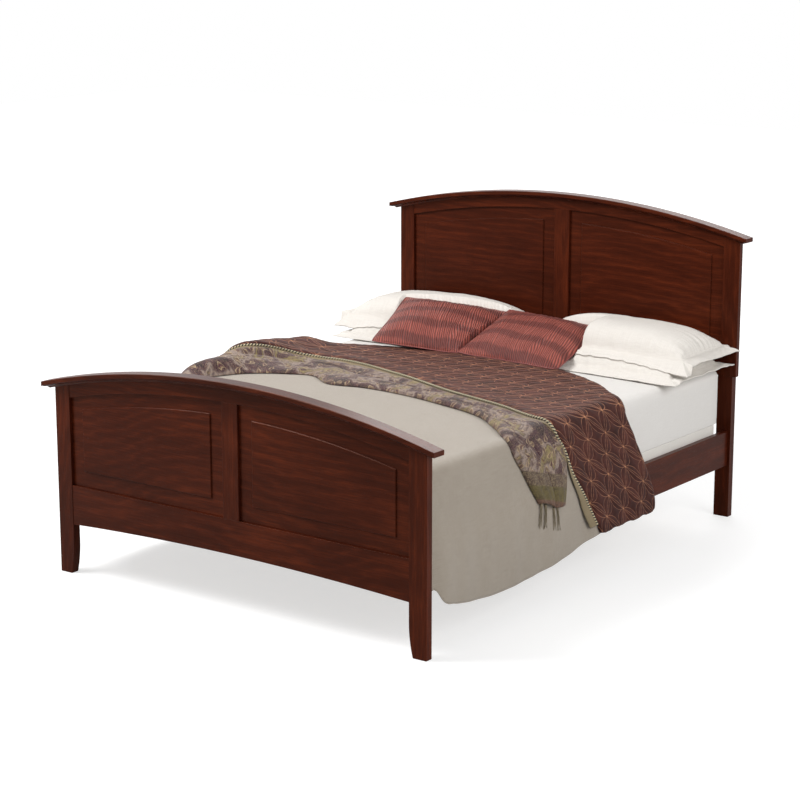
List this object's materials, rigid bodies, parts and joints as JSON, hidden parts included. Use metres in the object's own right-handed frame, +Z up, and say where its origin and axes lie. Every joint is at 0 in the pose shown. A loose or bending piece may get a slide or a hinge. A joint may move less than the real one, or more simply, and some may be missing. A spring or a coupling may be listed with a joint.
{
  "type": "panel bed",
  "caption": "Dressed panel bed with an arched footboard and a taller arched headboard of framed raised panels, hooked side rails, slats and a centre beam on levelling feet.",
  "frame": {"origin": "on the floor, at the centre of the bed's length and width", "axes": "+Z up; +Y along the bed towards the headboard; +X to the right seen from the foot"},
  "size_m": [1.746, 2.145, 1.2348],
  "materials": {
    "cherry": "satin dark cherry lacquer",
    "pine": "planed, unfinished",
    "steel": "zinc plated",
    "nylon_foot": "moulded",
    "ticking": "woven ticking",
    "white_linen": "washed linen",
    "greige_linen": "linen",
    "paisley_shawl": "fine woven wool and silk",
    "stitched_quilt": "stitched cotton sateen",
    "pleated_silk": "pleated silk"
  },
  "bodies": {
    "root": {"back_centre_leg": "pine", "beam_screws": "steel", "centre_beam": "pine", "coverlet": "greige_linen", "fitted_sheet": "white_linen", "foot_ferrules": "steel", "footboard_bottom_rail": "cherry", "footboard_cap": "cherry", "footboard_centre_stile": "cherry", "footboard_cove": "cherry", "footboard_left_panel": "cherry", "footboard_left_post": "cherry", "footboard_right_panel": "cherry", "footboard_right_post": "cherry", "footboard_top_rail": "cherry", "foundation": "ticking", "front_centre_leg": "pine", "headboard_bottom_rail": "cherry", "headboard_cap": "cherry", "headboard_centre_stile": "cherry", "headboard_cove": "cherry", "headboard_left_leg": "cherry", "headboard_left_panel": "cherry", "headboard_left_stile": "cherry", "headboard_right_leg": "cherry", "headboard_right_panel": "cherry", "headboard_right_stile": "cherry", "headboard_top_rail": "cherry", "left_cleat": "pine", "left_cushion": "pleated_silk", "left_lower_pillow": "white_linen", "left_side_rail": "cherry", "left_upper_pillow": "white_linen", "leg_bolts": "steel", "leg_inserts": "steel", "leg_slot_plates": "steel", "mattress": "ticking", "quilt": "stitched_quilt", "rail_hook_plates": "steel", "rail_plate_screws": "steel", "right_cleat": "pine", "right_cushion": "pleated_silk", "right_lower_pillow": "white_linen", "right_side_rail": "cherry", "right_upper_pillow": "white_linen", "slat_01": "pine", "slat_02": "pine", "slat_03": "pine", "slat_04": "pine", "slat_05": "pine", "slat_06": "pine", "slat_07": "pine", "slat_08": "pine", "slat_09": "pine", "slat_10": "pine", "slat_11": "pine", "slat_screws": "steel", "throw": "paisley_shawl"},
    "front_foot": {"front_levelling_foot": "nylon_foot"},
    "back_foot": {"back_levelling_foot": "nylon_foot"}
  },
  "joints": [
    {"name": "front_foot_screw", "type": "slide", "parent": "root", "child": "front_foot", "axis": [0, 0, 1], "range_m": [0, 0.012]},
    {"name": "back_foot_screw", "type": "slide", "parent": "root", "child": "back_foot", "axis": [0, 0, 1], "range_m": [0, 0.012]}
  ]
}
